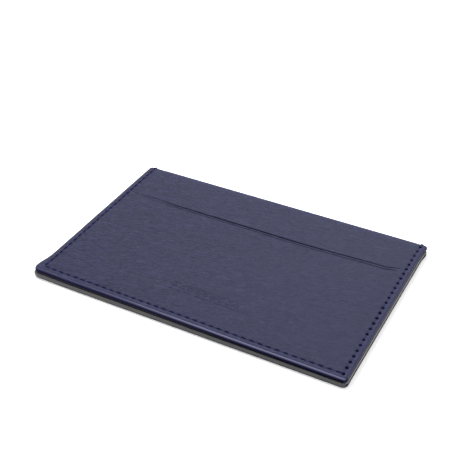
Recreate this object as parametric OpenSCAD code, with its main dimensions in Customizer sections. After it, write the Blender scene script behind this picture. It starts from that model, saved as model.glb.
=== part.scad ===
// Slip-in passport and document sleeve: a front and a back leather stack, sewn together on three sides.
// The main pocket opens along the top edge. A second pocket opens through a slit in the front face.
// Origin at the centre of the back face, +X along the mouth, +Y to the open edge, +Z out of the front.

/* [Body] */
// Width over the painted edges, along the mouth
body_w = 155; // [120:1:200]
// Height over the painted edges, from the sewn bottom to the open top
body_h = 102; // [90:1:140]
// Corner radius of the back stack's cut edge
back_corner_r = 1.9; // [0.8:0.1:4]
// Corner radius of the front stack's cut edge
front_corner_r = 0.7; // [0.7:0.1:1.5]
// How far the back stack stands out past the front stack on every side
back_ledge = 0.2; // [0:0.05:0.5]
// How far the edge paint bulges from a cut edge
paint_bulge = 0.6; // [0.2:0.05:0.6]

/* [Layers] */
// Thickness of the outer leather, front and back
leather_t = 1.4; // [1:0.1:2]
// Thickness of the stiffening board behind the back leather
back_board_t = 0.4; // [0.2:0.1:1]
// Thickness of the board that divides the two pockets
divider_board_t = 0.5; // [0.2:0.1:1]
// Thickness of the lining fabric
lining_t = 0.2; // [0.1:0.05:0.4]
// Thickness of the seam tape, which is the gap of a closed pocket
tape_t = 0.3; // [0.2:0.05:1]
// Width of the seam tape, in from the cut edge
tape_w = 4.2; // [4:0.1:8]

/* [Slit pocket] */
// Distance from the top edge down to the slit's straight middle
slit_drop = 26.8; // [15:0.1:40]
// Distance from the stitch line to each end of the slit
slit_end_gap = 2.4; // [1.5:0.1:20]
// How far the slit's ends turn up
slit_rise = 2.4; // [0.5:0.1:4]
// Radius of the turned-up ends
slit_turn_r = 10; // [8:0.5:20]
// Clear width of the slit
slit_gap = 0.7; // [0.5:0.1:1.5]
// Thickness of the paint on the slit's cut edges
slit_paint_t = 0.15; // [0.1:0.05:0.3]

/* [Sewing] */
// Distance from the outer edge in to the stitch line
stitch_inset = 2.9; // [2.5:0.1:3.5]
// Distance from the top edge down to the first needle hole
stitch_top_gap = 3; // [2:0.25:6]
// Wanted hole spacing, rounded so that each side holds whole stitches
stitch_pitch = 3.9; // [3:0.1:6]
// Thread diameter
thread_d = 0.45; // [0.3:0.01:0.45]
// Depth of the groove that the thread lies in on the front face
front_groove = 0.25; // [0.1:0.05:0.4]
// Width of the thread groove
groove_w = 0.95; // [0.9:0.05:1.4]

/* [Hidden] */
$fn = 48;

// Smallest clearance between thread and leather, and how far a cutter runs past a face
clear = 0.02;
through = 1;

// Heights of the layers, from the back face up
back_board_z = leather_t;
back_lining_z = back_board_z + back_board_t;
main_tape_z = back_lining_z + lining_t;
divider_lining_z = main_tape_z + tape_t;
divider_board_z = divider_lining_z + lining_t;
pocket_tape_z = divider_board_z + divider_board_t;
front_lining_z = pocket_tape_z + tape_t;
front_panel_z = front_lining_z + lining_t;
top_z = front_panel_z + leather_t;
seam_mid_z = (main_tape_z + divider_lining_z) / 2;

// Insets of the two stacks' cut edges from the outer size
back_inset = paint_bulge;
front_inset = paint_bulge + back_ledge;

// Thread, and the two strands that share each needle hole: each strand stands clear of the other
thread_r = thread_d / 2;
strand_shift = 0.73 * thread_d;
hole_r = strand_shift + thread_r + clear;
bend_r = 1.35 * thread_r;
back_groove = thread_d + 3 * clear;
front_run_z = top_z - front_groove + thread_r + clear;
back_run_z = back_groove - thread_r - clear;

// Stitch line and its holes, from the top left, along the bottom, to the top right
seam_x = body_w / 2 - stitch_inset;
seam_top = body_h / 2 - stitch_top_gap;
seam_bottom = stitch_inset - body_h / 2;
side_n = round((seam_top - seam_bottom) / stitch_pitch);
bottom_n = round(2 * seam_x / stitch_pitch);
side_step = (seam_top - seam_bottom) / side_n;
bottom_step = 2 * seam_x / bottom_n;
holes = concat(
    [for (i = [0 : side_n]) [-seam_x, seam_top - i * side_step]],
    [for (i = [1 : bottom_n - 1]) [-seam_x + i * bottom_step, seam_bottom]],
    [for (i = [0 : side_n]) [seam_x, seam_bottom + i * side_step]]
);

// Pocket space inside the tape, and the slit that opens the front pocket
pocket_w = body_w - 2 * (front_inset + tape_w);
pocket_bottom = front_inset + tape_w - body_h / 2;
slit_y = body_h / 2 - slit_drop;
slit_turn = acos(1 - slit_rise / slit_turn_r);
slit_straight_x = seam_x - slit_end_gap - slit_gap / 2 - slit_turn_r * sin(slit_turn);

// Edge tack: rings of thread through the top hole and over the top edge
tack_strands = [-0.56 * thread_d, 0.56 * thread_d];
tack_hole_shift = 0.45 * thread_d;
tack_edge_y = body_h / 2 + thread_r + clear;

// Colours
navy_leather = [0.19, 0.19, 0.31];
front_paint = [0.09, 0.09, 0.17];
back_paint = [0.24, 0.24, 0.25];
board_grey = [0.55, 0.53, 0.49];
lining_navy = [0.13, 0.14, 0.22];
tape_black = [0.20, 0.20, 0.22];
thread_navy = [0.07, 0.07, 0.20];

// ---- outlines, in the XY plane

// Rectangle with rounded corners, the outer size less an inset on every side
module outline(inset, r) {
    w = body_w - 2 * inset;
    h = body_h - 2 * inset;
    square([w - 2 * r, h], center = true);
    square([w, h - 2 * r], center = true);
    for (x = [-1, 1], y = [-1, 1])
        translate([x * (w / 2 - r), y * (h / 2 - r)]) circle(r);
}

// Slit with turned-up, rounded ends, its clear size grown by a margin
module slot(margin) {
    w = slit_gap + 2 * margin;
    far = 2 * slit_turn_r;
    translate([0, slit_y]) {
        square([2 * slit_straight_x, w], center = true);
        for (side = [0, 1]) mirror([side, 0]) translate([slit_straight_x, slit_turn_r]) {
            intersection() {
                difference() {
                    circle(slit_turn_r + w / 2, $fn = 96);
                    circle(slit_turn_r - w / 2, $fn = 96);
                }
                polygon([[0, 0], [0, -far], [far * tan(slit_turn), -far]]);
            }
            rotate(slit_turn) translate([0, -slit_turn_r]) circle(w / 2);
        }
    }
}

module needle_holes() {
    for (p = holes) translate(p) circle(hole_r);
}

// ---- building blocks

// Flat sheet of a stack, pierced by the needle
module sheet(z, t, inset, r) {
    translate([0, 0, z]) linear_extrude(t) difference() {
        outline(inset, r);
        needle_holes();
    }
}

module back_sheet(z, t) {
    sheet(z, t, back_inset, back_corner_r);
}

module front_sheet(z, t) {
    sheet(z, t, front_inset, front_corner_r);
}

// Tape round the sewn edges; the pocket space inside it reaches up to y = top
module seam_tape(z, top) {
    difference() {
        front_sheet(z, tape_t);
        translate([-pocket_w / 2, pocket_bottom, z - through])
            cube([pocket_w, top - pocket_bottom, tape_t + 2 * through]);
    }
}

// Groove along the stitch line, open at the top edge
module thread_groove(z, depth) {
    translate([0, 0, z]) {
        for (x = [-1, 1])
            translate([x * seam_x - groove_w / 2, seam_bottom - groove_w / 2, 0])
                cube([groove_w, body_h, depth]);
        translate([-seam_x, seam_bottom - groove_w / 2, 0]) cube([2 * seam_x, groove_w, depth]);
    }
}

// Section of an edge bead: it bulges along +X over the stack's height, with rounded shoulders
module bead_section(h) {
    intersection() {
        union() {
            translate([0, paint_bulge]) square([paint_bulge, h - 2 * paint_bulge]);
            for (y = [paint_bulge, h - paint_bulge]) translate([0, y]) circle(paint_bulge);
        }
        square([paint_bulge, h]);
    }
}

// Painted bead all round a stack's cut edge
module edge_bead(z, h, inset, r) {
    x = body_w / 2 - inset;
    y = body_h / 2 - inset;
    translate([0, 0, z]) {
        for (side = [[0, x, 2 * (y - r)], [90, y, 2 * (x - r)], [180, x, 2 * (y - r)], [270, y, 2 * (x - r)]])
            rotate([0, 0, side[0]]) translate([side[1], 0, 0])
                rotate([90, 0, 0]) linear_extrude(side[2], center = true) bead_section(h);
        for (corner = [[1, 1, 0], [-1, 1, 90], [-1, -1, 180], [1, -1, 270]])
            translate([corner[0] * (x - r), corner[1] * (y - r), 0]) rotate([0, 0, corner[2]])
                rotate_extrude(angle = 90) translate([r, 0]) bead_section(h);
    }
}

// Quarter turn of thread about the origin, from +X round to +Z
module thread_bend() {
    rotate([90, 0, 0]) rotate_extrude(angle = 90) translate([bend_r, 0]) circle(thread_r);
}

// One stitch along +X over a span, its two legs running down by a depth
module stitch(span, depth) {
    run = span - 2 * (strand_shift + bend_r);
    translate([span / 2, 0, 0]) {
        rotate([0, 90, 0]) cylinder(h = run, r = thread_r, center = true);
        for (side = [0, 1]) mirror([side, 0, 0]) translate([run / 2, 0, -bend_r]) {
            thread_bend();
            translate([bend_r, 0, bend_r - depth]) cylinder(h = depth - bend_r, r = thread_r);
        }
    }
}

// A stitch between each pair of neighbouring holes; up is 1 on the front face and -1 on the back
module stitch_row(run_z, up) {
    depth = up * (run_z - seam_mid_z) - clear;
    for (i = [0 : len(holes) - 2]) {
        step = holes[i + 1] - holes[i];
        translate([holes[i].x, holes[i].y, run_z]) rotate([0, 0, atan2(step.y, step.x)])
            mirror([0, 0, (1 - up) / 2]) stitch(norm(step), depth);
    }
}

// Ring of thread in the YZ plane, through the top hole and over the open edge
module tack_ring() {
    low = [seam_top + tack_hole_shift, back_run_z];
    high = [tack_edge_y, front_run_z];
    mid = (low + high) / 2;
    half = (high - low) / 2;
    translate([0, mid.x, mid.y]) {
        for (s = [-1, 1]) {
            translate([0, s * half.x, 0]) cylinder(h = 2 * (half.y - bend_r), r = thread_r, center = true);
            translate([0, 0, s * half.y]) rotate([90, 0, 0])
                cylinder(h = 2 * (half.x - bend_r), r = thread_r, center = true);
        }
        for (s = [0, 1], t = [0, 1]) mirror([0, s, 0]) mirror([0, 0, t])
            translate([0, half.x - bend_r, half.y - bend_r]) rotate([0, 0, 90]) thread_bend();
    }
}

module edge_tack(x) {
    for (shift = tack_strands) translate([x + shift, 0, 0]) tack_ring();
}

// ---- back stack

module back_panel() {
    color(navy_leather) difference() {
        back_sheet(0, leather_t);
        thread_groove(-through, through + back_groove);
    }
}

module back_board() {
    color(board_grey) back_sheet(back_board_z, back_board_t);
}

module back_lining() {
    color(lining_navy) back_sheet(back_lining_z, lining_t);
}

module back_edge_paint() {
    color(back_paint) edge_bead(0, main_tape_z, back_inset, back_corner_r);
}

// ---- seam tape, which sets each pocket's gap

module main_seam_tape() {
    color(tape_black) seam_tape(main_tape_z, body_h);
}

module pocket_seam_tape() {
    color(tape_black) seam_tape(pocket_tape_z, slit_y + slit_rise + slit_gap);
}

// ---- front stack

module divider_lining() {
    color(lining_navy) front_sheet(divider_lining_z, lining_t);
}

module divider_board() {
    color(board_grey) front_sheet(divider_board_z, divider_board_t);
}

module front_lining() {
    color(lining_navy) difference() {
        front_sheet(front_lining_z, lining_t);
        translate([0, 0, front_lining_z - through]) linear_extrude(lining_t + 2 * through) slot(slit_paint_t);
    }
}

module front_panel() {
    color(navy_leather) difference() {
        front_sheet(front_panel_z, leather_t);
        translate([0, 0, front_panel_z - through]) linear_extrude(leather_t + 2 * through) slot(slit_paint_t);
        thread_groove(top_z - front_groove, front_groove + through);
    }
}

module front_edge_paint() {
    color(front_paint) edge_bead(divider_lining_z, top_z - divider_lining_z, front_inset, front_corner_r);
}

module slit_edge_paint() {
    color(front_paint) translate([0, 0, front_lining_z]) linear_extrude(lining_t + leather_t) difference() {
        slot(slit_paint_t);
        slot(0);
    }
}

// ---- sewing

module needle_thread() {
    color(thread_navy) stitch_row(front_run_z, 1);
}

module bobbin_thread() {
    color(thread_navy) stitch_row(back_run_z, -1);
}

module left_edge_tack() {
    color(thread_navy) edge_tack(-seam_x);
}

module right_edge_tack() {
    color(thread_navy) edge_tack(seam_x);
}

back_panel();
back_board();
back_lining();
main_seam_tape();
divider_lining();
divider_board();
pocket_seam_tape();
front_lining();
front_panel();
back_edge_paint();
front_edge_paint();
slit_edge_paint();
needle_thread();
bobbin_thread();
left_edge_tack();
right_edge_tack();
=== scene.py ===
import math

import bpy
import numpy as np
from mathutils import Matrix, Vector, noise


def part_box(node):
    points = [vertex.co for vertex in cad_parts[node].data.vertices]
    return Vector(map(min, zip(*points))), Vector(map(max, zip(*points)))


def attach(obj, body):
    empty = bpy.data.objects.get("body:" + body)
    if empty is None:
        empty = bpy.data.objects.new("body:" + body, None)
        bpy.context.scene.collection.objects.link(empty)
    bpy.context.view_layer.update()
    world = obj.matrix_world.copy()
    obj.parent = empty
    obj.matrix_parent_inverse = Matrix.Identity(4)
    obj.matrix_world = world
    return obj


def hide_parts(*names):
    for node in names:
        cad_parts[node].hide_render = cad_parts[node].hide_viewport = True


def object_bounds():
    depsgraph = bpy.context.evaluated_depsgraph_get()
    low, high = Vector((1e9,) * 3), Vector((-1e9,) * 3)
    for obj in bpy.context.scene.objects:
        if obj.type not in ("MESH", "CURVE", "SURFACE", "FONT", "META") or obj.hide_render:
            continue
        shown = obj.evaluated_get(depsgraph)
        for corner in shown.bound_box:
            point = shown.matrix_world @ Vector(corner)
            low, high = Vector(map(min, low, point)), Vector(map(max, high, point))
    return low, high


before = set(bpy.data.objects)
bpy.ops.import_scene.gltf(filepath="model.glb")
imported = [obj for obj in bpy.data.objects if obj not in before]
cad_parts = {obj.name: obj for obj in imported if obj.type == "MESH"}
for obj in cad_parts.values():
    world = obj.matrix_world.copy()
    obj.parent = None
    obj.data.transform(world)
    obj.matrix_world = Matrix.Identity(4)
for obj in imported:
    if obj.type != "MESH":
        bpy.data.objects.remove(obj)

# Shapes are worked out in millimetres in the shared frame, and become metres when a piece is made.
MM = 0.001
cad_low, cad_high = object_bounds()

# ---- sizes

THREAD_D = 0.45
THREAD_R = THREAD_D / 2
STRAND_SHIFT = 0.73 * THREAD_D  # from a needle hole's centre to the strand that comes up through it
STITCH_PITCH = 3.9              # wanted length of a stitch; each side gets the nearest whole number of them
WIDE_HOLE_R = 0.6               # needle holes of the right seam, pulled open in use
NARROW_HOLE_R = 0.2             # needle holes on the left and along the bottom
WIDE_SIDE = 1.5                 # how far inside the right seam its own strip begins
SLIT_GAP = 0.7                  # width of the slit's opening
SLIT_PAINT = 0.15               # thickness of the paint on the slit's edges
FRONT_CORNER_R = 1.2
BACK_CORNER_R = 1.9
SEED = 20         # start of the leather's noise and of the thread's random draws
FULL_TURN = 6.28  # range of a thread's random turn, in radians

# What use has done to the sleeve
CORNER_SPREAD = 1.2  # how far the lower left corner has spread outwards
BACK_EXTRA = 0.35    # share by which the back stack has spread further
CORNER_LIFT = 0.35   # how far that corner has curled up
TOP_SPREAD = 0.8     # how far the upper right corner has spread outwards
SEAM_CREEP = 0.5     # how far the left seam has been drawn in by its tight stitches
FRONT_CREEP = 0.5    # how far the front stack's bottom edge stands back from the back stack's
FRONT_SKEW = 0.6     # how much more it stands back towards the left
SKEW_FROM = 50       # where on X that skew begins
SKEW_RUN = 90        # run over which it grows
CREEP_FADE = 26      # height above the bottom seam over which the front's creep fades out
CREEP_MOST = 1.2     # share of the creep that the paint bead above the front face may reach
SPREAD_REACH = 5.5   # how far up the side the lower left corner's spread reaches
CURL_REACH = 8.0     # how far from that corner it has curled
SEAM_REACH = 1.6     # how far beside the left seam the leather has moved with it


def box_mm(node):
    """Lowest and highest corner of a CAD node, in millimetres."""
    low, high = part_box(node)
    return np.array(low) / MM, np.array(high) / MM


def seam_layout():
    """Stitch line of the CAD thread: half width, bottom, top, and the hole centres in sewing order."""
    low, high = box_mm("needle_thread")
    x, bottom, top = high[0] - THREAD_R, low[1] + THREAD_R, high[1] + STRAND_SHIFT - THREAD_R
    side_n = round((top - bottom) / STITCH_PITCH)
    bottom_n = round(2 * x / STITCH_PITCH)
    ys = np.linspace(top, bottom, side_n + 1)
    xs = np.linspace(-x, x, bottom_n + 1)
    holes = [(-x, y) for y in ys] + [(u, bottom) for u in xs[1:-1]] + [(x, y) for y in ys[::-1]]
    return x, bottom, top, np.array(holes), ys[::-1], xs


SEAM_X, SEAM_BOTTOM, SEAM_TOP, HOLES, SIDE_YS, BOTTOM_XS = seam_layout()
SIDE_STEP = SIDE_YS[1] - SIDE_YS[0]
BOTTOM_STEP = BOTTOM_XS[1] - BOTTOM_XS[0]
STACK_SPLIT_Z = box_mm("divider_lining")[0][2]  # where the front stack lies on the main pocket
FRONT_Z = box_mm("front_panel")[1][2]
BACK_Z = box_mm("back_panel")[0][2]


def slit_layout():
    """Straight height, rise and half length of the slit, from its CAD paint."""
    low, high = box_mm("slit_edge_paint")
    cut = SLIT_GAP + 2 * SLIT_PAINT
    return low[1] + cut / 2, high[1] - low[1] - cut, high[0] - SLIT_PAINT


SLIT_Y, SLIT_RISE, SLIT_X = slit_layout()


# ---- small helpers

def smooth(t):
    """Soft step from 0 to 1 as t goes from 0 to 1."""
    t = np.clip(t, 0, 1)
    return t * t * (3 - 2 * t)


def bell(distance, width):
    """Soft bump of height 1 at distance 0."""
    return np.exp(-(distance / width) ** 2)


def noise_at(x, y, scale_x, scale_y, seed):
    """Smooth noise of about -1 to 1 at each point, one bump per scale in millimetres."""
    depth = 0.37 * seed
    points = ((u / scale_x + seed, v / scale_y - seed, depth) for u, v in zip(x, y))
    return np.array([noise.noise(Vector(point)) for point in points])


def on_wide_side(x):
    """Whether a place belongs to the right seam, whose holes are wide."""
    return x > SEAM_X - WIDE_SIDE


def settle(verts):
    """Moves points the way use has moved the sleeve."""
    verts = np.array(verts, float)
    x, y = verts[:, 0] + SEAM_X, verts[:, 1] - SEAM_BOTTOM      # from the seam's lower left corner
    creep = FRONT_CREEP + FRONT_SKEW * smooth((SKEW_FROM - verts[:, 0]) / SKEW_RUN)
    creep = creep * np.clip((verts[:, 2] - STACK_SPLIT_Z) / (FRONT_Z - STACK_SPLIT_Z), 0, CREEP_MOST)
    outside = smooth(-x / 2.5)
    in_back = smooth((STACK_SPLIT_Z - verts[:, 2]) / 0.4)
    verts[:, 1] += creep * (1 - smooth(y / CREEP_FADE))
    verts[:, 0] += TOP_SPREAD * smooth((verts[:, 0] - SEAM_X + 2) / 4) * bell(verts[:, 1] - SEAM_TOP - 3, 5)
    verts[:, 0] += SEAM_CREEP * bell(x, SEAM_REACH)
    verts[:, 0] -= CORNER_SPREAD * (1 + BACK_EXTRA * in_back) * outside * bell(y, SPREAD_REACH)
    verts[:, 2] += CORNER_LIFT * bell(np.hypot(x, y), CURL_REACH)
    return verts


def add_piece(name, verts, faces, material, slot, node, smooth_angle=None, attributes=None):
    """Makes the mesh piece that stands in for a CAD node, from vertices in millimetres."""
    mesh = bpy.data.meshes.new(name)
    mesh.from_pydata((settle(verts) * MM).tolist(), [], [list(f) for f in faces])
    mesh.validate()
    for key, values in (attributes or {}).items():
        layer = mesh.attributes.new(key, "FLOAT", "POINT")
        layer.data.foreach_set("value", np.asarray(values, np.float32))
    mesh.materials.append(material)
    piece = bpy.data.objects.new(name, mesh)
    bpy.context.scene.collection.objects.link(piece)
    mesh.shade_smooth()
    if smooth_angle is not None:
        mesh.set_sharp_from_angle(angle=math.radians(smooth_angle))
    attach(piece, "root")
    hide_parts(node)


# ---- materials

class Nodes:
    """Short way to build a node material. Each method adds nodes and gives back the socket that comes out."""

    def __init__(self, name):
        self.material = bpy.data.materials.new(name)
        self.material.use_nodes = True
        self.tree = self.material.node_tree
        self.bsdf = self.tree.nodes["Principled BSDF"]

    def add(self, kind, inputs=None, **settings):
        made = self.tree.nodes.new(kind)
        for key, value in settings.items():
            setattr(made, key, value)
        for key, value in (inputs or {}).items():
            self.put(made.inputs[key], value)
        return made

    def put(self, socket, value):
        if isinstance(value, bpy.types.NodeSocket):
            self.tree.links.new(value, socket)
        else:
            socket.default_value = value

    def set(self, **inputs):
        """Sets inputs of the surface shader, by name with underscores for spaces."""
        for key, value in inputs.items():
            self.put(self.bsdf.inputs[key.replace("_", " ")], value)

    def place(self, scale_x, scale_y, scale_z, turn=0.0):
        """Object position divided by a size in millimetres on each axis, turned about Z."""
        position = self.add("ShaderNodeTexCoord").outputs["Object"]
        mapping = self.add("ShaderNodeMapping", {"Vector": position}, vector_type="TEXTURE")
        mapping.inputs["Rotation"].default_value = (0, 0, turn)
        mapping.inputs["Scale"].default_value = (scale_x * MM, scale_y * MM, scale_z * MM)
        return mapping.outputs["Vector"]

    def axes(self):
        """The object position's three coordinates, in metres."""
        position = self.add("ShaderNodeTexCoord").outputs["Object"]
        return self.add("ShaderNodeSeparateXYZ", {"Vector": position}).outputs

    def noise(self, vector, detail=3.0, rough=0.5, distortion=0.0):
        made = self.add("ShaderNodeTexNoise", {"Vector": vector, "Scale": 1.0, "Detail": detail,
                                               "Roughness": rough, "Distortion": distortion})
        return made.outputs["Fac"]

    def cells(self, vector, feature="F1"):
        """Distance inside a field of cells."""
        made = self.add("ShaderNodeTexVoronoi", {"Vector": vector, "Scale": 1.0}, feature=feature)
        return made.outputs["Distance"]

    def bands(self, vector, distortion):
        """Soft parallel ribs."""
        made = self.add("ShaderNodeTexWave", {"Vector": vector, "Scale": 1.0, "Distortion": distortion,
                                              "Detail": 1.0})
        return made.outputs["Fac"]

    def math(self, operation, a, b=0.0):
        made = self.add("ShaderNodeMath", operation=operation)
        self.put(made.inputs[0], a)
        self.put(made.inputs[1], b)
        return made.outputs[0]

    def times(self, a, b):
        return self.math("MULTIPLY", a, b)

    def plus(self, a, b):
        return self.math("ADD", a, b)

    def ramp(self, value, low, high, out_low=0.0, out_high=1.0):
        """The value's way from low to high, as a clamped way from out_low to out_high."""
        made = self.add("ShaderNodeMapRange", {"Value": value, "From Min": low, "From Max": high,
                                               "To Min": out_low, "To Max": out_high})
        return made.outputs["Result"]

    def mix(self, share, a, b):
        """Colour a, with a share of colour b in it."""
        made = self.add("ShaderNodeMix", data_type="RGBA")
        for socket, value in ((made.inputs[0], share), (made.inputs[6], a), (made.inputs[7], b)):
            self.put(socket, value)
        return made.outputs[2]

    def attribute(self, name):
        return self.add("ShaderNodeAttribute", attribute_name=name).outputs["Fac"]

    def bump(self, height, distance_mm, strength):
        """Normal of a surface roughened by a height, which counts for this many millimetres."""
        distance = distance_mm * MM
        made = self.add("ShaderNodeBump", {"Height": height, "Distance": distance, "Strength": strength})
        return made.outputs["Normal"]


def rgb(r, g, b):
    """Linear colour with alpha from sRGB bytes."""
    def linear(v):
        v /= 255
        return v / 12.92 if v <= 0.04045 else ((v + 0.055) / 1.055) ** 2.4
    return (linear(r), linear(g), linear(b), 1.0)


# Colours
# The grey navy is a painted sheen, mixed into the leather more towards the right.
NAVY, NAVY_PALE, NAVY_SHEEN_GREY = rgb(27, 29, 62), rgb(32, 34, 66), rgb(31, 34, 58)
# The pale worn colour is real wear at the rims, and a painted highlight on the slit's lower lip.
VEIN, MARGIN, WORN_AND_HIGHLIGHT, DEEP_SHADE = rgb(9, 12, 38), rgb(30, 29, 74), rgb(72, 75, 98), rgb(5, 5, 28)
# The front coat's pale crest colour is a painted highlight.
FRONT_COAT, FRONT_COAT_PALE, FRONT_CREST_HIGHLIGHT = rgb(20, 21, 54), rgb(26, 27, 62), rgb(84, 84, 110)
BACK_COAT, BACK_COAT_PALE, COAT_SHADE = rgb(51, 50, 56), rgb(61, 60, 58), rgb(7, 7, 35)
BACK_LEDGE_HIGHLIGHT = rgb(146, 143, 134)  # painted highlight on the back coat's ledge, strongest on the right side
THREAD_NAVY, THREAD_BLUE = rgb(6, 6, 36), rgb(10, 10, 46)
# The pale thread colour is a painted highlight.
THREAD_PALE, THREAD_DEEP = rgb(44, 46, 84), rgb(4, 4, 18)
TWILL_DARK, TWILL_LIGHT, TWILL_FUZZ = rgb(26, 27, 44), rgb(44, 46, 70), rgb(60, 62, 84)
BOARD_GREY, BOARD_SPECK, SOAKED = rgb(150, 144, 132), rgb(112, 106, 96), rgb(7, 7, 30)
TAPE_GREY, TAPE_SPECK = rgb(46, 46, 50), rgb(30, 30, 34)

GRAIN_SLANT = 8     # degrees that the leather's grain turns from the long edge
GRAIN_DEPTH = 0.52  # millimetres of bump
GRAIN_RIGHT = 0.45  # strength of the grain at the right seam, as a share of that at the left one
LEATHER_SHINE = 0.195
DULL = 0.02  # shine left in the deepest shade


def leather_material():
    """Matt-satin navy leather: slanting wavy grain, pores, soft cloudy colour, a bluer sewn margin, and a
    painted sheen that greys it towards the right.
    """
    n = Nodes("navy_leather")
    slant = math.radians(GRAIN_SLANT)
    streaks = n.noise(n.place(4.6, 1.3, 2.0, turn=slant), detail=4, rough=0.6, distortion=1.2)
    waves = n.noise(n.place(2.5, 0.75, 2.0, turn=slant + 0.12), detail=3, distortion=1.5)
    pebble = n.cells(n.place(0.62, 0.42, 0.4, turn=slant), feature="DISTANCE_TO_EDGE")
    pores = n.cells(n.place(0.9, 0.75, 0.8))
    cloud = n.noise(n.place(38, 26, 30), detail=3)
    across = n.axes()["X"]
    strength = n.ramp(across, -SEAM_X * MM, SEAM_X * MM, 1.0, GRAIN_RIGHT)
    base = n.mix(n.ramp(cloud, 0.3, 0.7), NAVY, NAVY_PALE)
    # Painted sheen: greyer navy towards the right, where the lights give the leather less sheen.
    base = n.mix(n.ramp(across, -SEAM_X * MM, SEAM_X * MM, 0.0, 0.5), base, NAVY_SHEEN_GREY)
    vein = n.times(n.ramp(n.plus(streaks, n.times(waves, 0.5)), 0.62, 0.92), strength)
    base = n.mix(n.times(vein, 0.9), base, VEIN)
    base = n.mix(n.times(n.attribute("margin"), 0.2), base, MARGIN)
    # Paler where worn at the rims, and a painted highlight on the slit's lower lip.
    base = n.mix(n.times(n.attribute("wear"), 0.5), base, WORN_AND_HIGHLIGHT)
    base = n.mix(n.attribute("dark"), base, DEEP_SHADE)
    rough = n.ramp(n.plus(streaks, n.times(cloud, 0.6)), 0.5, 1.1, 0.46, 0.60)
    pit = n.ramp(pores, 0.0, 0.16)
    grain = n.plus(n.times(streaks, 1.2), n.times(waves, 1.2))
    grain = n.times(grain, strength)
    grain = n.plus(grain, n.times(n.ramp(pebble, 0.0, 0.2), 0.10))
    grain = n.plus(grain, n.times(pit, 0.08))
    shine = n.ramp(n.attribute("dark"), 0.0, 1.0, LEATHER_SHINE, DULL)
    normal = n.bump(grain, GRAIN_DEPTH, 0.9)
    n.set(Base_Color=base, Roughness=rough, Specular_IOR_Level=shine, Normal=normal)
    return n.material


def edge_paint_material(name, color, light, crest_highlight, roughness, gloss):
    """Satin edge paint: thick rounded coat with faint brush ripples, pale patches, a painted highlight along
    the crest and painted shade where "dark" says so.
    """
    n = Nodes(name)
    ripple = n.noise(n.place(1.1, 1.1, 0.9), detail=3, rough=0.6)
    patches = n.noise(n.place(6, 6, 3), detail=3)
    fine = n.noise(n.place(0.16, 0.16, 0.16), detail=2)
    base = n.mix(n.ramp(patches, 0.35, 0.75), color, light)
    rough = n.ramp(patches, 0.3, 0.8, roughness, roughness + 0.14)
    height = n.plus(n.times(ripple, 1.0), n.times(fine, 0.12))
    # Painted highlight along the crest.
    base = n.mix(n.attribute("crest"), base, crest_highlight)
    base = n.mix(n.attribute("dark"), base, COAT_SHADE)
    shine = n.ramp(n.attribute("dark"), 0.0, 1.0, gloss, DULL)
    n.set(Base_Color=base, Roughness=rough, Specular_IOR_Level=shine, Normal=n.bump(height, 0.03, 0.5))
    return n.material


def thread_material():
    """Waxed navy thread: fine fibres along the twist, hardly any shine, paler where "tone" says so: a painted
    highlight, with a little random tone by stitch.
    """
    n = Nodes("navy_thread")
    fibre = n.noise(n.place(0.09, 0.09, 0.09), detail=2, distortion=1.0)
    tone = n.noise(n.place(2.4, 2.4, 2.4), detail=1)
    base = n.mix(n.ramp(tone, 0.3, 0.7), THREAD_NAVY, THREAD_BLUE)
    base = n.mix(n.attribute("tone"), base, THREAD_PALE)
    base = n.mix(n.ramp(fibre, 0.4, 0.8, 0.0, 0.5), base, THREAD_DEEP)
    n.set(Base_Color=base, Roughness=0.7, Specular_IOR_Level=0.05, Normal=n.bump(fibre, 0.02, 0.7))
    return n.material


def lining_material():
    """Dark twill lining: diagonal ribs over a fine weave."""
    n = Nodes("twill_lining")
    ribs = n.bands(n.place(1.6, 1.6, 1.6, turn=math.radians(52)), distortion=0.5)
    yarn = n.bands(n.place(0.9, 0.9, 0.9, turn=math.radians(90)), distortion=0.3)
    weave = n.plus(n.times(ribs, 0.7), n.times(yarn, 0.3))
    fuzz = n.noise(n.place(0.12, 0.12, 0.12), detail=2)
    base = n.mix(weave, TWILL_DARK, TWILL_LIGHT)
    base = n.mix(n.ramp(fuzz, 0.4, 0.8, 0.0, 0.3), base, TWILL_FUZZ)
    n.set(Base_Color=base, Roughness=0.85, Sheen_Weight=0.3, Normal=n.bump(weave, 0.05, 0.8))
    return n.material


def fibre_material(name, color, speck, scale, roughness):
    """Matt pressed fibre, for board and tape, darkened outside the seam where edge paint has soaked in."""
    n = Nodes(name)
    fibres = n.noise(n.place(scale * 4, scale, scale), detail=4, rough=0.7, distortion=1.5)
    specks = n.cells(n.place(scale * 2, scale * 2, scale * 2))
    base = n.mix(n.ramp(fibres, 0.35, 0.7), color, speck)
    base = n.mix(n.ramp(specks, 0.0, 0.2, 0.4, 0.0), base, speck)
    position = n.axes()
    for axis, half in (("X", SEAM_X), ("Y", -SEAM_BOTTOM)):
        soaked = n.ramp(n.math("ABSOLUTE", position[axis]), (half + 0.6) * MM, (half + 1.0) * MM)
        base = n.mix(soaked, base, SOAKED)
    n.set(Base_Color=base, Roughness=roughness, Normal=n.bump(fibres, 0.04, 0.8))
    return n.material


LEATHER = leather_material()
FRONT_PAINT = edge_paint_material("front_paint", FRONT_COAT, FRONT_COAT_PALE, FRONT_CREST_HIGHLIGHT, 0.34, 0.2)
BACK_PAINT = edge_paint_material("back_paint", BACK_COAT, BACK_COAT_PALE, BACK_LEDGE_HIGHLIGHT, 0.36, 0.3)
THREAD = thread_material()
LINING = lining_material()
BOARD = fibre_material("grey_board", BOARD_GREY, BOARD_SPECK, 0.5, 0.9)
TAPE = fibre_material("black_tape", TAPE_GREY, TAPE_SPECK, 0.3, 0.8)


# ---- leather panels

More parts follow.
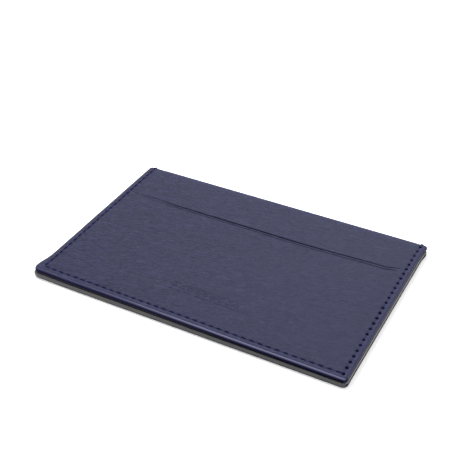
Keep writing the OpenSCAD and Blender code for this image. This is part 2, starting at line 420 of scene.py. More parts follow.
GRID_SHARE = 6                 # grid cells in one stitch
RIM = [0.0, 0.05, 0.17, 0.40]  # insets of the grid lines that round the rim
RIM_R = RIM[-1]
RIM_CLEAR = 0.15  # least gap between the rim's lines and the even grid
LINE_GAP = 0.05   # grid lines closer than this become one
BLOCK = 2         # grid cells of a needle hole's own block, each way from its centre
BLOCK_SLACK = 0.01
HOLE_RINGS = [0.0, 0.07, 0.2, 0.42]             # widths of the rings round a needle hole
SEAM_LINES = [-0.27, 0.27]                      # extra grid lines beside the stitch line
LIP_LINES = [0.07, 0.2, 0.4, 1.0, 1.25, 1.5]    # extra grid lines beside the slit
MARK_X, MARK_Y = (-16.0, 20.0), (-34.6, -28.6)  # where the embossed row of lozenges lies
MARK_STEP = 0.22                                # spacing of the extra grid lines under it


def grid_lines(half, seam_low, seam_high, step, extra):
    """Grid coordinates from edge to edge: rim lines, lines that meet every hole, and extra ones."""
    inner = np.arange(seam_low - BLOCK * step, seam_high + BLOCK * step + 1e-6, step)
    inner = inner[(inner > -half + RIM_R + RIM_CLEAR) & (inner < half - RIM_R - RIM_CLEAR)]
    lines = np.concatenate([inner, [s * (half - d) for d in RIM for s in (-1, 1)], extra])
    lines = np.unique(np.round(lines, 4))
    keep = [lines[0]]
    fixed = np.round(inner, 4)
    for value in lines[1:]:
        if value - keep[-1] > LINE_GAP:
            keep.append(value)
        elif value in fixed:
            keep[-1] = value
    return np.array(keep)


def hole_radius(x, y):
    """The right seam's holes are wider than the others, unevenly so, and widest near the bottom."""
    wide = WIDE_HOLE_R * (0.93 + 0.1 * np.sin(3.1 * y) - 0.0012 * y)
    return np.where(on_wide_side(x), wide, NARROW_HOLE_R)


class Panel:
    """A leather sheet as two matching faces joined at its rim, its needle holes and its slit."""

    def __init__(self, low, high, corner_r, with_slit, with_mark):
        self.half_x, self.half_y = (high[0] - low[0]) / 2, (high[1] - low[1]) / 2
        self.corner_r = corner_r
        extra_x = [s * SEAM_X + d for s in (-1, 1) for d in SEAM_LINES]
        extra_y = [SEAM_BOTTOM + d for d in SEAM_LINES]
        step_x, step_y = BOTTOM_STEP / GRID_SHARE, SIDE_STEP / GRID_SHARE
        self.slit_row = self.row_j = None
        if with_slit:
            self.slit_row = SEAM_BOTTOM + step_y * round((SLIT_Y - SEAM_BOTTOM) / step_y)
            extra_y += [self.slit_row + s * d for d in LIP_LINES for s in (-1, 1)]
        if with_mark:
            extra_x += list(np.arange(MARK_X[0], MARK_X[1], MARK_STEP))
            extra_y += list(np.arange(MARK_Y[0], MARK_Y[1], MARK_STEP))
        self.xs = grid_lines(self.half_x, -SEAM_X, SEAM_X, step_x, extra_x)
        self.ys = grid_lines(self.half_y, SEAM_BOTTOM, SEAM_TOP, step_y, extra_y)
        self.block = (BLOCK * step_x + BLOCK_SLACK, BLOCK * step_y + BLOCK_SLACK)
        self.loops = []
        self.build_grid()
        self.cut_holes()
        if with_slit:
            self.cut_slit()
        self.collect_faces()

    def build_grid(self):
        """Lays the grid's points out and takes its outer rim as the first loop."""
        nx, ny = len(self.xs), len(self.ys)
        self.index = np.arange(nx * ny).reshape(ny, nx)
        gx, gy = np.meshgrid(self.xs, self.ys)
        x, y, self.edge = self.round_corners(gx.ravel(), gy.ravel())
        self.points = [np.stack([x, y], 1)]
        self.edges = [self.edge]
        self.count = nx * ny
        self.filled = np.ones((ny - 1, nx - 1), bool)
        self.faces = []
        rim = list(self.index[0, :]) + list(self.index[1:, -1]) + list(self.index[-1, -2::-1])
        self.loops.append(rim + list(self.index[-2:0:-1, 0]))

    def round_corners(self, x, y):
        """Bends the square grid's corners into arcs, and gives each point's distance to the rim."""
        r = self.corner_r
        u = np.clip((np.abs(x) - self.half_x + r) / r, 0, None)
        v = np.clip((np.abs(y) - self.half_y + r) / r, 0, None)
        inside = (u > 0) & (v > 0)
        ru, rv = u * np.sqrt(1 - v * v / 2), v * np.sqrt(1 - u * u / 2)
        x = np.where(inside, np.sign(x) * (self.half_x - r + ru * r), x)
        y = np.where(inside, np.sign(y) * (self.half_y - r + rv * r), y)
        straight = np.minimum(self.half_x - np.abs(x), self.half_y - np.abs(y))
        return x, y, np.where(inside, r * (1 - np.hypot(ru, rv)), straight)

    def cut_holes(self):
        """Swaps the cells round each needle hole for rings that narrow to the hole."""
        base = self.points[0]
        for hx, hy in HOLES:
            i = np.nonzero(np.abs(self.xs - hx) <= self.block[0])[0]
            j = np.nonzero(np.abs(self.ys - hy) <= self.block[1])[0]
            i0, i1, j0, j1 = i[0], i[-1], j[0], j[-1]
            self.filled[j0:j1, i0:i1] = False
            frame_loop = list(self.index[j0, i0:i1]) + list(self.index[j0:j1, i1])
            frame_loop += list(self.index[j1, i1:i0:-1]) + list(self.index[j1:j0:-1, i0])
            away = base[frame_loop] - (hx, hy)
            away /= np.linalg.norm(away, axis=1)[:, None]
            outer = frame_loop
            for width in HOLE_RINGS[::-1]:
                ring = self.add_points((hx, hy) + away * (hole_radius(hx, hy) + width))
                self.bridge(outer, ring)
                outer = ring
            self.loops.append(outer[::-1])

    def add_points(self, points):
        """Takes in more points and gives back their numbers."""
        start = self.count
        self.points.append(points)
        edge = np.minimum(self.half_x - np.abs(points[:, 0]), self.half_y - np.abs(points[:, 1]))
        self.edges.append(edge)
        self.count += len(points)
        return list(range(start, self.count))

    def bridge(self, outer, inner):
        """Fills the space between two loops of as many points."""
        for k in range(len(outer)):
            m = (k + 1) % len(outer)
            self.faces.append((outer[k], outer[m], inner[m], inner[k]))

    def cut_slit(self):
        """Splits the grid along the slit's row, so that the row below it gets its own copy of the points."""
        self.row_j = int(np.argmin(np.abs(self.ys - self.slit_row)))
        i = np.nonzero(np.abs(self.xs) <= SLIT_X)[0]
        inside = self.index[self.row_j, i[0] + 1:i[-1]]
        self.lower_lip = self.add_points(self.points[0][inside])
        ends = [self.index[self.row_j, i[0]]], [self.index[self.row_j, i[-1]]]
        self.loops.append((ends[0] + list(inside) + ends[1] + self.lower_lip[::-1])[::-1])
        self.lip_map = dict(zip(inside, self.lower_lip))

    def collect_faces(self):
        """Gathers the faces, drops the points that none of them uses and numbers the rest afresh."""
        for j, i in zip(*np.nonzero(self.filled)):
            quad = [self.index[j, i], self.index[j, i + 1], self.index[j + 1, i + 1], self.index[j + 1, i]]
            if self.row_j is not None and j == self.row_j - 1:
                quad = [self.lip_map.get(q, q) for q in quad]
            self.faces.append(tuple(quad))
        points, edge = np.concatenate(self.points), np.concatenate(self.edges)
        used = np.unique(np.concatenate([np.array(f) for f in self.faces]))
        renumber = -np.ones(len(points), int)
        renumber[used] = np.arange(len(used))
        self.faces = [tuple(renumber[list(f)]) for f in self.faces]
        self.loops = [list(renumber[loop]) for loop in self.loops]
        if self.row_j is not None:
            self.lower_lip = list(renumber[self.lower_lip])
        self.x, self.y, self.edge = points[used, 0], points[used, 1], edge[used]

    def solid(self, top, bottom):
        """Vertices and faces of the closed sheet between two height arrays."""
        n = len(self.x)
        verts = np.concatenate([np.stack([self.x, self.y, top], 1), np.stack([self.x, self.y, bottom], 1)])
        faces = list(self.faces) + [tuple(v + n for v in f[::-1]) for f in self.faces]
        for loop in self.loops:
            for a, b in zip(loop, loop[1:] + loop[:1]):
                faces.append((b, a, a + n, b + n))
        return verts, faces


FAR = 1e3  # longer than any distance on the sleeve


def seam_distance(x, y):
    """Distance to the stitch line, and the distance along it to the nearest hole."""
    side = np.where(y > SEAM_BOTTOM, np.abs(np.abs(x) - SEAM_X), FAR)
    base = np.where(np.abs(x) < SEAM_X, np.abs(y - SEAM_BOTTOM), FAR)
    corner = np.hypot(np.maximum(np.abs(x) - SEAM_X, 0), np.minimum(y - SEAM_BOTTOM, 0))
    corner = np.where((np.abs(x) >= SEAM_X) & (y <= SEAM_BOTTOM), corner, FAR)
    off = np.minimum(np.minimum(side, base), corner)
    along_side = np.abs((y - SEAM_BOTTOM + SIDE_STEP / 2) % SIDE_STEP - SIDE_STEP / 2)
    along_base = np.abs((x + SEAM_X + BOTTOM_STEP / 2) % BOTTOM_STEP - BOTTOM_STEP / 2)
    return off, np.where(side <= base, along_side, along_base)


def hole_distance(x, y):
    """Distance to the rim of the nearest needle hole."""
    best = np.full(len(x), FAR)
    for hx, hy in HOLES:
        best = np.minimum(best, np.hypot(x - hx, y - hy) - hole_radius(hx, hy))
    return best


def rim_drop(distance, radius):
    """How far a rounded rim falls below the face at a distance in from the edge."""
    t = np.clip(distance, 0, radius)
    return radius - np.sqrt(radius ** 2 - (radius - t) ** 2)


# Depths and half widths of what the stitches do to the leather; pairs are (wide side, other sides)
GROOVE_W = 0.3
OPEN_END, OPEN_RUN = 2.5, 1.5    # how far past the seam's top the groove runs, and the length it fades over
WIDE_LOSS = 0.75         # share of the groove's depth missing on the wide side
BRIDGE, BRIDGE_W = (0, 0.95), 0.62       # share of the groove filled in at a hole
HOLE_PULL = (0.05, 0.1)
HOLE_LIP = (0.28, 0.05)
LIP_W = 0.38
SWELL, SWELL_OFF = 0.06, 0.95
DASH_GAP = 0.65  # bare leather between a hole and the dash of shade


def by_side(x, pair):
    """The first of the pair on the wide side, the second elsewhere."""
    return np.where(on_wide_side(x), *pair)


def sewn_relief(x, y, groove):
    """Height of leather pulled down by its stitches: groove, dips at the holes and swells between them."""
    off, along = seam_distance(x, y)
    open_end = smooth((SEAM_TOP + OPEN_END - y) / OPEN_RUN)
    tight = 1 - WIDE_LOSS * smooth(x - SEAM_X + WIDE_SIDE)
    bridge = by_side(x, BRIDGE) * bell(along, BRIDGE_W)
    hollow = -groove * tight * bell(off, GROOVE_W) * open_end * (1 - bridge)
    pull = -by_side(x, HOLE_PULL) * bell(off, 1.3) * bell(along, 1.0)
    swell = SWELL * bell(off - SWELL_OFF, 0.5) * (1 - bell(along, 1.3))
    lip = -by_side(x, HOLE_LIP) * (1 - smooth(hole_distance(x, y) / LIP_W))
    return hollow + pull + swell + lip


def stitch_shade(x, y):
    """Shade in the thread groove of the tight sides, in dashes that stop short of the holes."""
    off, along = seam_distance(x, y)
    dash = smooth((along - DASH_GAP) / 0.3) * smooth((SEAM_TOP + 0.5 - y) / 0.5)
    return by_side(x, (0, 1.0)) * bell(off, 0.42) * dash


def hole_shade(x, y):
    """Full shade inside a needle hole, fading just outside it."""
    return 1 - smooth(hole_distance(x, y) / by_side(x, (0.2, 0.05)))


def sewn_margin(edge):
    """How far each point belongs to the strip outside the seam, from its distance to the edge."""
    return smooth((3.2 - edge) / 1.2)


def slit_path(x):
    """How far the slit's line lies above its straight middle; the right end turns up the most."""
    slow_rise = 0.62 * SLIT_RISE * smooth((x - 20) / 50)
    end_turn = 0.8 * SLIT_RISE * smooth((x - SLIT_X + 7.2) / 7.5)
    left_turn = 0.23 * SLIT_RISE * smooth((-x - 45) / 10)
    return (slow_rise + end_turn + left_turn) * smooth((SLIT_X + 1.2 - np.abs(x)) / 1.2)


def lozenge_mark(x, y):
    """Plain embossed ornament: a row of small lozenge outlines between two thin lines."""
    centre_x, centre_y = sum(MARK_X) / 2, sum(MARK_Y) / 2
    pitch, half_row, depth = 3.9, 15.6 + 1.9, 0.2
    lozenge_w, lozenge_h, line_off = 1.45, 1.75, 2.55
    u = (x - centre_x + pitch / 2) % pitch - pitch / 2
    v = y - centre_y
    lozenge = np.abs(u) / lozenge_w + np.abs(v) / lozenge_h
    outline = bell(lozenge - 0.82, 0.2) * (np.abs(x - centre_x) < half_row)
    lines = bell(np.abs(v) - line_off, 0.17) * smooth((half_row - np.abs(x - centre_x)) / 0.5)
    return -depth * np.maximum(outline, lines)


FRONT_GROOVE, BACK_GROOVE = 0.24, 0.34  # depth of the thread's groove in each face
CROWN, CROWN_RUN = 0.22, 9              # how far the front rises inside its seam, and over what run
LIP_R = 0.4                             # rounding of the slit's lips
UPPER_GAP, UPPER_REACH = 0.14, 3.0      # way of the upper lip, and how far beside it the leather follows
LOWER_GAP, LOWER_REACH = 0.16, 9.0      # the same for the lower lip
LOWER_SAG = 0.68                        # how much more the lower lip hangs in its middle
LOWER_LIFT, LIFT_REACH = 0.24, 7        # how far it stands proud, and how far beside it that shows
BEND_REACH = 3.4                        # how far from the slit the leather follows its bent line
CREASE_OFF, CREASE_DEPTH = 1.25, 0.14   # the crease below the slit: distance and depth
CREASE_SHADE, LIP_HIGHLIGHT = 0.85, 0.25     # how dark the crease's painted shade is, and how strong the painted highlight on the lower lip
SHARP_ANGLE = 50                        # degrees from which an edge is shaded sharp
INNER_GAP = 0.01                        # what keeps a leather's inner face off the layer beneath it


HIDDEN = {"margin": 0.0, "wear": 0.0, "dark": 1.0}  # looks of a leather's inner face, which is painted in full shade


def add_leather(name, node, solid, looks, seen_first):
    """Makes a leather panel's piece, from its solid and the looks of the face that is seen."""
    attributes = {}
    for key, seen in looks.items():
        both = [seen, np.full(len(seen), HIDDEN[key])]
        attributes[key] = np.concatenate(both if seen_first else both[::-1])
    add_piece(name, *solid, LEATHER, "outer_leather", node, SHARP_ANGLE, attributes)


def open_slit(panel, x, y):
    """The slit's lips part a little; the lower one hangs, stands slightly proud and has a crease below it.

    Gives each point's way along Y and up, the painted highlight on the lower lip and the painted shade in the
    crease below it.
    """
    away = y - panel.slit_row
    distance = np.abs(away)
    below = away < -1e-6
    below[panel.lower_lip] = True
    span = np.clip(1 - (x / SLIT_X) ** 2, 0, 1)
    at_slit = span > 0.004
    loose = 0.25 + 0.75 * smooth((x + 68) / 30)
    part = np.where(below, -(LOWER_GAP + LOWER_SAG * span), UPPER_GAP) * smooth(span * 9) * loose
    near = np.exp(-distance / np.where(below, LOWER_REACH, UPPER_REACH))
    lip = rim_drop(distance, LIP_R) * at_slit
    crease = CREASE_DEPTH * bell(distance - CREASE_OFF, 0.25) * smooth(span * 12) * below
    lift = np.where(below, LOWER_LIFT * span * np.exp(-distance / LIFT_REACH), 0)
    along_y = part * near + slit_path(x) * np.exp(-(distance / BEND_REACH) ** 2)
    # Painted highlight along the lower lip's rounded edge.
    lip_highlight = bell(distance - 0.5, 0.35) * at_slit * LIP_HIGHLIGHT * below
    shade = CREASE_SHADE * bell(distance - CREASE_OFF, 0.3) * smooth(span * 12) * below * loose
    return along_y, lift - lip - crease, lip_highlight, shade


def front_leather():
    """Front leather, with slit and ornament. Gives back its panel and heights for the slit's paint."""
    low, high = box_mm("front_panel")
    panel = Panel(low, high, FRONT_CORNER_R, with_slit=True, with_mark=True)
    x, y = panel.x, panel.y
    off = seam_distance(x, y)[0]
    inside = (np.abs(x) < SEAM_X) & (y > SEAM_BOTTOM)
    crown = CROWN * smooth(np.where(inside, off, 0) / CROWN_RUN)
    soft = 0.10 * noise_at(x, y, 34, 24, SEED) + 0.035 * noise_at(x, y, 11, 5, SEED + 3)
    soft = soft * smooth(panel.edge / 6)
    along_y, rise, slit_highlight, slit_shade = open_slit(panel, x, y)
    top = high[2] + crown + soft + sewn_relief(x, y, FRONT_GROOVE) - rim_drop(panel.edge, RIM_R)
    top = top + lozenge_mark(x, y) + rise
    panel.y = y + along_y

    # Real wear along the rim and the mouth, plus the painted highlight on the slit's lower lip.
    wear = bell(panel.edge - 0.3, 0.35) * 0.3 + slit_highlight
    wear = np.maximum(wear, 0.35 * bell(panel.half_y - y, 1.6))
    dark = np.maximum(np.maximum(hole_shade(x, y), slit_shade), stitch_shade(x, y))
    solid = panel.solid(top, np.full(len(x), low[2] + INNER_GAP))
    looks = {"margin": sewn_margin(panel.edge), "wear": wear, "dark": dark}
    add_leather("front_leather", "front_panel", solid, looks, seen_first=True)
    return panel, top


def back_leather():
    """Back leather, plain, facing down."""
    low, high = box_mm("back_panel")
    panel = Panel(low, high, BACK_CORNER_R, with_slit=False, with_mark=False)
    x, y = panel.x, panel.y
    soft = 0.02 * (1 + noise_at(x, y, 30, 20, SEED + 7)) * smooth(panel.edge / 6)
    face = low[2] + soft - sewn_relief(x, y, BACK_GROOVE) + rim_drop(panel.edge, RIM_R)
    solid = panel.solid(np.full(len(x), high[2] - INNER_GAP), face)
    wear = bell(panel.edge - 0.3, 0.35) * 0.8
    looks = {"margin": sewn_margin(panel.edge), "wear": wear, "dark": hole_shade(x, y)}
    add_leather("back_leather", "back_panel", solid, looks, seen_first=False)


# ---- painted edges

EDGE_STEP = 0.9      # spacing of a coat's cross sections along the straight edges
ARC_STEP = 0.25      # and round the corners
UNEVEN = 0.06, 0.05  # short and long unevenness of a coat's bulge, as shares of it
UNEVEN_RISE = 0.03   # unevenness of its height


def outline_path(half_x, half_y, r, step):
    """Points and outward directions round a rounded rectangle."""
    points, normals = [], []
    arc_n = max(6, int(math.ceil(r * math.pi / 2 / ARC_STEP)))
    corners = (1, 1), (-1, 1), (-1, -1), (1, -1)
    centres = [np.array([sx * (half_x - r), sy * (half_y - r)]) for sx, sy in corners]
    for k, centre in enumerate(centres):
        for a in np.linspace(0, math.pi / 2, arc_n + 1):
            angle = k * math.pi / 2 + a
            n = np.array([math.cos(angle), math.sin(angle)])
            points.append(centre + r * n)
            normals.append(n)
        end, n = points[-1], normals[-1]
        start = centres[(k + 1) % 4] + r * n
        count = int(np.linalg.norm(start - end) / step)
        for t in np.linspace(0, 1, count + 1)[1:-1]:
            points.append(end + (start - end) * t)
            normals.append(n)
    return np.array(points), np.array(normals)


# Sections of the coats: share of the bulge outwards, share of the stack's height upwards
FRONT_SECTION = [(-0.4, 0.92), (-0.13, 0.89), (0.07, 0.875), (0.3, 0.905), (0.57, 0.895), (0.78, 0.85),
                 (0.93, 0.765), (1.0, 0.645), (0.97, 0.52), (0.82, 0.4), (0.55, 0.3), (0.25, 0.22),
                 (0.1, 0.12), (-0.03, 0.02), (-0.8, 0.01), (-0.8, 0.85)]
BACK_SECTION = [(-0.8, 0.97), (-0.1, 1.08), (0.2, 1.19), (0.5, 1.2), (0.76, 1.14), (0.93, 1.02), (1.0, 0.84),
                (1.0, 0.6), (0.97, 0.36), (0.85, 0.16), (0.55, 0.04), (0.1, 0.005), (-0.8, 0.02)]


def facing(normals, axis, side):
    """How far each place of an edge faces one side of the sleeve, from 0 to 1."""
    return smooth((side * normals[:, axis] - 0.7) / 0.2)


def front_shades(points, normals, up):
    """Painted shade under the front coat's crest; a painted highlight on the crest along the bottom edge,
    stronger to the right.
    """
    crest_highlight = facing(normals, 1, -1) * (0.15 + 0.85 * smooth((points[:, 0] + 55) / 80))
    shade = smooth((0.78 + 0.08 * facing(normals, 0, 1) - up) / 0.2)
    return shade, crest_highlight * smooth((up - 0.7) / 0.12)


def back_shades(points, normals, up):
    """Painted shade low on the back coat, reaching higher on the right; a painted highlight on its ledge,
    mostly on the right side.
    """
    right = facing(normals, 0, 1)
    shade = smooth((0.42 + 0.74 * right - up) / 0.2)
    return shade, (0.1 + 0.9 * right) * smooth((up - 1.0) / 0.12)


def tube_faces(rings, points, closed=True):
    """Quads between neighbouring rings of points; the last ring of a closed tube is joined to the first."""
    faces = []
    for a in range(rings if closed else rings - 1):
        b = (a + 1) % rings
        for k in range(points):
            q = (k + 1) % points
            faces.append((a * points + k, a * points + q, b * points + q, b * points + k))
    return faces


def edge_coat(name, node, panel_node, corner_r, section, shades, material, seed):
    """Rounded coat of edge paint round a stack, a little uneven along its length."""
    low, high = box_mm(node)
    plate_high = box_mm(panel_node)[1]
    bulge, height = high[0] - plate_high[0], high[2] - low[2]
    points, normals = outline_path(plate_high[0], plate_high[1], corner_r, EDGE_STEP)
    run = noise_at(points[:, 0], points[:, 1], 6, 6, seed)
    wave = noise_at(points[:, 0], points[:, 1], 17, 17, seed + 5)
    rings, dark, crest = [], [], []
    for out, up in section:
        reach = bulge * out * np.where(out > 0, 1 + UNEVEN[0] * run + UNEVEN[1] * wave, 1)
        level = low[2] + height * up + UNEVEN_RISE * run * max(out, 0)
        rings.append(np.column_stack([points + normals * reach[:, None], level]))
        shade, crest_highlight = shades(points, normals, up)
        dark.append(shade)
        crest.append(crest_highlight)
    faces = tube_faces(len(rings), len(points))
    attributes = {"dark": np.concatenate(dark), "crest": np.concatenate(crest)}
    add_piece(name, np.concatenate(rings), faces, material, node, node, None, attributes)


def slit_coat(panel, top):
    """Thin coat of paint down the slit's cut edges."""
    low = box_mm("slit_edge_paint")[0]
    loop = panel.loops[-1]
    points = np.stack([panel.x[loop], panel.y[loop]], 1)
    tangent = np.roll(points, -1, 0) - np.roll(points, 1, 0)
    tangent /= np.linalg.norm(tangent, axis=1)[:, None] + 1e-9
    side = np.stack([-tangent[:, 1], tangent[:, 0]], 1)
    middle = panel.slit_row + slit_path(points[:, 0])
    side *= np.sign((middle - points[:, 1]) * side[:, 1] + 1e-9)[:, None]
    outer, inner = -0.05, 0.1
    rings = []
    for inward, drop in ((outer, 0.22), (0.02, 0.12), (0.08, 0.2), (inner, 0.5)):
        rings.append(np.column_stack([points + side * inward, top[loop] - drop]))
    foot = np.full(len(loop), low[2] + 0.05)
    for inward in (inner, outer):
        rings.append(np.column_stack([points + side * inward, foot]))
    faces = tube_faces(len(rings), len(loop))
    # The whole slit coat is painted in full shade, down in the slit.
    dark = {"dark": np.ones(len(rings) * len(loop))}
    add_piece("slit_coat", np.concatenate(rings), faces, FRONT_PAINT, "front_edge_paint", "slit_edge_paint",
              None, dark)


# ---- thread

PLIES = 3
PLY_SIDES = 6
TWIST_MM = 1.3               # length over which the plies go round once
PLY_R, PLY_OFF = 0.56, 0.46  # a ply's radius and distance off the middle, in thread radii
THREAD_STEP = 0.2            # spacing of the rings along a thread
THREAD_TAPER = 0.6           # thickness of a ply at its ends, as a share


def resample(path, step):
    """Points at an even spacing along a polyline, and the length run up to each."""
    path = np.asarray(path, float)
    run = np.concatenate([[0], np.cumsum(np.linalg.norm(np.diff(path, axis=0), axis=1))])
    at = np.linspace(0, run[-1], max(4, int(run[-1] / step)))
    return np.stack([np.interp(at, run, path[:, k]) for k in range(path.shape[1])], 1), at


def gather(parts):
    """Joins the vertices and faces of several parts into one."""
    verts, faces, start = [], [], 0
    for v, f in parts:
        verts.append(v)
        faces += [tuple(i + start for i in face) for face in f]
        start += len(v)
    return np.concatenate(verts), faces


def twisted(path, radius, side, phase):
    """Three twisted plies along a path; side is a direction across the path everywhere."""
    points, run = resample(path, THREAD_STEP)
    tangent = np.gradient(points, axis=0)
    tangent /= np.linalg.norm(tangent, axis=1)[:, None]
    across = np.tile(np.asarray(side, float), (len(points), 1))
    other = np.cross(tangent, across)
    ply_r, ply_off = radius * PLY_R, radius * PLY_OFF
    taper = np.ones((len(points), 1))
    taper[0] = taper[-1] = THREAD_TAPER
    last = (len(points) - 1) * PLY_SIDES
    ends = [tuple(range(PLY_SIDES))[::-1], tuple(range(last, last + PLY_SIDES))]
    faces = tube_faces(len(points), PLY_SIDES, closed=False) + ends
    plies = []
    for ply in range(PLIES):
        turn = phase + 2 * math.pi * (run / TWIST_MM + ply / PLIES)
        centre = points + ply_off * (across * np.cos(turn)[:, None] + other * np.sin(turn)[:, None])
        rings = []
        for k in range(PLY_SIDES):
            a = 2 * math.pi * k / PLY_SIDES
            rings.append(centre + ply_r * taper * (across * math.cos(a) + other * math.sin(a)))
        plies.append((np.stack(rings, 1).reshape(-1, 3), faces))
    return gather(plies)


# How a stitch comes up out of its hole: distance along, height
WIDE_RUN = [(0.20, -0.95), (0.22, -0.5), (0.32, -0.22), (0.55, -0.06), (0.95, 0.0)]
NARROW_RUN = [(0.24, -0.95), (0.34, -0.55), (0.50, -0.30), (0.70, -0.12), (1.0, 0.0)]
TIGHT_SWELL = 1.1                    # thickness of the thread on the tight sides, as a share of its size
STITCH_CROWN = 0.04                  # how much higher a stitch lies in its middle
WIDE_SINK = 0.1                      # how much deeper the thread lies on the wide side
LEAN_SCATTER = 0.02                  # how unevenly the stitches lean
# The thread's pale tone is a painted highlight: mid-stitch on the wide side, near the holes on the tight
# sides.
PALE_REACH, PALE_RUN = 0.65, 0.25    # where from a hole the thread's tone changes, and over what run
TONE_STEP, TONE_SCATTER = 0.8, 0.15  # by how much it changes, and by how much it differs by stitch


def stitches(name, node, run_z, up, slant):
    """A twisted stitch between each pair of holes, dipping into both; up is 1 in front and -1 at the back."""
    rng = np.random.default_rng(SEED + (1 if up > 0 else 2))
    parts, tones = [], []
    for a, b in zip(HOLES[:-1], HOLES[1:]):
        length = np.linalg.norm(b - a)
        along = (b - a) / length
        across = np.array([-along[1], along[0]])
        lean = slant + rng.normal(0, LEAN_SCATTER)
        wide = on_wide_side(min(a[0], b[0]))
        sunk = WIDE_SINK if wide else 0.0
        profile = WIDE_RUN if wide else NARROW_RUN
        profile = profile + [(length / 2, STITCH_CROWN)]
        profile += [(length - s, z) for s, z in profile[-2::-1]]
        path = []
        for s, z in profile:
            spot = a + along * s + across * lean * (1 - 2 * s / length)
            path.append((spot[0], spot[1], run_z + up * (z - sunk)))
        size = THREAD_R if wide else TIGHT_SWELL * THREAD_R
        verts, faces = twisted(path, size, (across[0], across[1], 0), rng.uniform(0, FULL_TURN))
        parts.append((verts, faces))
        # Painted highlight on the thread, plus a random share per stitch.
        from_end = np.minimum(*(np.hypot(*(verts[:, :2] - end).T) for end in (a, b)))
        share = smooth((from_end - PALE_REACH) / PALE_RUN)
        tones.append(TONE_STEP * (share if wide else 1 - share) + rng.uniform(0, TONE_SCATTER))
    verts, faces = gather(parts)
    add_piece(name, verts, faces, THREAD, "thread", node, None, {"tone": np.concatenate(tones)})


# A tack's way round the open edge, corner by corner: whether the corner is the high one along Y and along Z,
# and the bend's points measured from it
TACK_LOOP = [
    (0, 1, [(0, -0.9), (0.03, -0.35), (0.2, -0.05), (0.6, 0)]),
    (1, 1, [(-0.5, 0.04), (-0.12, -0.12), (0, -0.5)]),
    (1, 0, [(0, 0.5), (-0.12, 0.12), (-0.5, 0)]),
    (0, 0, [(0.6, 0), (0.2, 0.05), (0.03, 0.35), (0, 0.9)]),
]
TACK_SHIFT = 0.56 * THREAD_D  # each strand's distance off the seam's line
TACK_SINK = 0.2               # how far below its CAD solid's top a tack lies
TACK_WANDER = 0.03            # how far a strand strays from its line


def tack(name, node, sign):
    """Two strands that bind the seam's end over the open edge."""
    low, high = box_mm(node)
    rng = np.random.default_rng(SEED + 3 + sign)
    x_mid = (low[0] + high[0]) / 2
    ys = low[1] + THREAD_R, high[1] - THREAD_R
    zs = low[2] + THREAD_R, high[2] - THREAD_R - TACK_SINK
    loop = [(ys[j] + dy, zs[k] + dz) for j, k, bend in TACK_LOOP for dy, dz in bend]
    parts = []
    for shift in (-TACK_SHIFT, TACK_SHIFT):
        path = [(x_mid + shift + TACK_WANDER * math.sin(2 * k), y, z) for k, (y, z) in enumerate(loop)]
        parts.append(twisted(path, THREAD_R, (1, 0, 0), rng.uniform(0, FULL_TURN)))
    verts, faces = gather(parts)
    add_piece(name, verts, faces, THREAD, "thread", node)


# ---- linings and inner layers

LINING_INSET = 0.05
LINING_THIN = 0.035  # what the cloth's two faces stay inside the CAD layer, to leave room for ripples
LINING_CELLS = (96, 64)
RIPPLE = 0.02                              # height of the cloth's ripples
CUT_BELOW, CUT_ABOVE = 1.2, 0.8            # room round the slit in the lining behind it
AROUND = (-1, 0), (0, 1), (1, 0), (0, -1)  # steps by row and column to the cells across each side


def lining_sheet(name, node, seed, cut_slit=False):
    """Thin cloth sheet with faint ripples, in the place of a lining's CAD solid."""
    low, high = box_mm(node)
    xs = np.linspace(low[0] + LINING_INSET, high[0] - LINING_INSET, LINING_CELLS[0])
    ys = np.linspace(low[1] + LINING_INSET, high[1] - LINING_INSET, LINING_CELLS[1])
    gx, gy = (g.ravel() for g in np.meshgrid(xs, ys))
    nx, ny = len(xs), len(ys)
    ripple = RIPPLE * noise_at(gx, gy, 9, 14, seed)
    top = np.stack([gx, gy, high[2] - LINING_THIN + ripple], 1)
    bottom = np.stack([gx, gy, low[2] + LINING_THIN + ripple], 1)
    cut = set()
    if cut_slit:
        cut_low, cut_high = SLIT_Y - CUT_BELOW, SLIT_Y + SLIT_RISE + CUT_ABOVE
        rows = [j for j in range(ny - 1) if ys[j + 1] > cut_low and ys[j] < cut_high]
        columns = [i for i in range(nx - 1) if abs(xs[i]) < SLIT_X and abs(xs[i + 1]) < SLIT_X]
        cut = {(j, i) for j in rows for i in columns}
    n = nx * ny
    faces = []
    for j in range(ny - 1):
        for i in range(nx - 1):
            if (j, i) in cut:
                continue
            corners = j * nx + i, j * nx + i + 1, (j + 1) * nx + i + 1, (j + 1) * nx + i
            faces += [corners, tuple(v + n for v in corners[::-1])]
            for k, (dj, di) in enumerate(AROUND):
                p, q = corners[k], corners[(k + 1) % 4]
                near = (j + dj, i + di)
                if near in cut or not (0 <= near[0] < ny - 1 and 0 <= near[1] < nx - 1):
                    faces.append((q, p, p + n, q + n))
    verts = np.concatenate([top, bottom])
    used = sorted({v for f in faces for v in f})
    number = {v: k for k, v in enumerate(used)}
    faces = [tuple(number[v] for v in f) for f in faces]
    add_piece(name, verts[used], faces, LINING, "lining", node)


def dress_cad(node, material):
    """A CAD node whose shape is right keeps it and gets its material."""
    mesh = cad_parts[node].data
    mesh.materials.clear()
    mesh.materials.append(material)


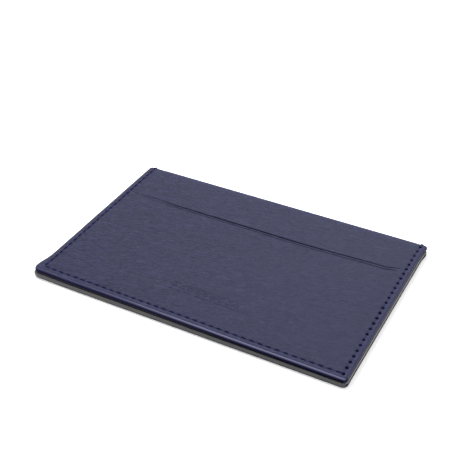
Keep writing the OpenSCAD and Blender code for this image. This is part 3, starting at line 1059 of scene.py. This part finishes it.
front_panel, front_top = front_leather()
back_leather()
edge_coat("front_edge_coat", "front_edge_paint", "front_panel", FRONT_CORNER_R, FRONT_SECTION, front_shades,
          FRONT_PAINT, 31)
edge_coat("back_edge_coat", "back_edge_paint", "back_panel", BACK_CORNER_R, BACK_SECTION, back_shades,
          BACK_PAINT, 47)
slit_coat(front_panel, front_top)
stitches("needle_stitches", "needle_thread", FRONT_Z - 0.1, 1, 0.1)
stitches("bobbin_stitches", "bobbin_thread", BACK_Z + THREAD_R + 0.06, -1, -0.1)
tack("left_tack", "left_edge_tack", -1)
tack("right_tack", "right_edge_tack", 1)
lining_sheet("back_lining_cloth", "back_lining", 61)
lining_sheet("divider_lining_cloth", "divider_lining", 67)
lining_sheet("front_lining_cloth", "front_lining", 71, cut_slit=True)
for board in ("back_board", "divider_board"):
    dress_cad(board, BOARD)
for tape in ("main_seam_tape", "pocket_seam_tape"):
    dress_cad(tape, TAPE)


# ---- stage, light and camera

WIDTH = cad_high.x - cad_low.x
FLOOR_HALF = 40       # half the floor's side, in widths of the sleeve
FLOOR_DROP = 0.00005  # metres that keep it clear of the leather
WHITE = (1, 1, 1, 1)
FLOOR_GREY, FLOOR_PALE = (0.93, 0.93, 0.93, 1), (0.95, 0.95, 0.945, 1)

# Lights: azimuth and elevation in degrees, distance and size in metres, power in watts
KEY_LIGHT = (237, 59, 0.9, 0.25, 9.0)
SHEEN_LIGHT = (186, 38, 0.9, 0.8, 2.4)

# Camera: azimuth and elevation in degrees, then distance and aim in widths of the sleeve
CAMERA_ANGLES = (27.7, 36.06)
CAMERA_DISTANCE = 2.9139
CAMERA_AIM = Vector((-0.0689, 0.1377, 0.0018))
LENS_MM, SENSOR_MM = 70.2, 36


def towards(azimuth, elevation):
    """Direction from the sleeve to a place at these degrees; azimuth 0 is in front, 90 at the right."""
    a, e = math.radians(azimuth), math.radians(elevation)
    return Vector((math.sin(a) * math.cos(e), -math.cos(a) * math.cos(e), math.sin(e)))


def link_aimed(name, data, location, back):
    """Puts a lamp or camera in the scene, looking against the direction "back"."""
    made = bpy.data.objects.new(name, data)
    made.location = location
    made.rotation_mode = "QUATERNION"
    made.rotation_quaternion = (-back).to_track_quat("-Z", "Y")
    bpy.context.scene.collection.objects.link(made)
    return made


def make_floor():
    """Pale floor with a little light of its own, so that it shows nearly white."""
    n = Nodes("pale_floor")
    tone = n.noise(n.place(400, 400, 400), detail=2)
    n.set(Base_Color=n.mix(tone, FLOOR_GREY, FLOOR_PALE), Roughness=0.9)
    n.set(Specular_IOR_Level=0.1, Emission_Color=WHITE, Emission_Strength=0.2)
    size = FLOOR_HALF * WIDTH
    corners = [(-size, -size, 0), (size, -size, 0), (size, size, 0), (-size, size, 0)]
    mesh = bpy.data.meshes.new("floor")
    mesh.from_pydata(corners, [], [(0, 1, 2, 3)])
    mesh.materials.append(n.material)
    floor = bpy.data.objects.new("floor", mesh)
    floor.location.z = -FLOOR_DROP
    bpy.context.scene.collection.objects.link(floor)


def area_light(name, azimuth, elevation, distance, size, power):
    """Soft square light aimed at the sleeve."""
    back = towards(azimuth, elevation)
    data = bpy.data.lights.new(name, "AREA")
    data.size = size
    data.energy = power
    link_aimed(name, data, back * distance, back)


def make_light():
    """White surroundings and two soft lights from behind, which give the leather its sheen."""
    world = bpy.data.worlds.new("studio")
    world.use_nodes = True
    surroundings = world.node_tree.nodes["Background"]
    surroundings.inputs["Color"].default_value = WHITE
    surroundings.inputs["Strength"].default_value = 1.0
    bpy.context.scene.world = world
    area_light("key", *KEY_LIGHT)
    area_light("sheen", *SHEEN_LIGHT)
    bpy.context.scene.view_settings.view_transform = "Standard"
    bpy.context.scene.view_settings.look = "None"


def make_camera():
    """Camera in front and to the right, looking down at the sleeve."""
    back = towards(*CAMERA_ANGLES)
    data = bpy.data.cameras.new("camera")
    data.lens = LENS_MM
    data.sensor_width = SENSOR_MM
    place = (back * CAMERA_DISTANCE + CAMERA_AIM) * WIDTH
    bpy.context.scene.camera = link_aimed("camera", data, place, back)


make_floor()
make_light()
make_camera()
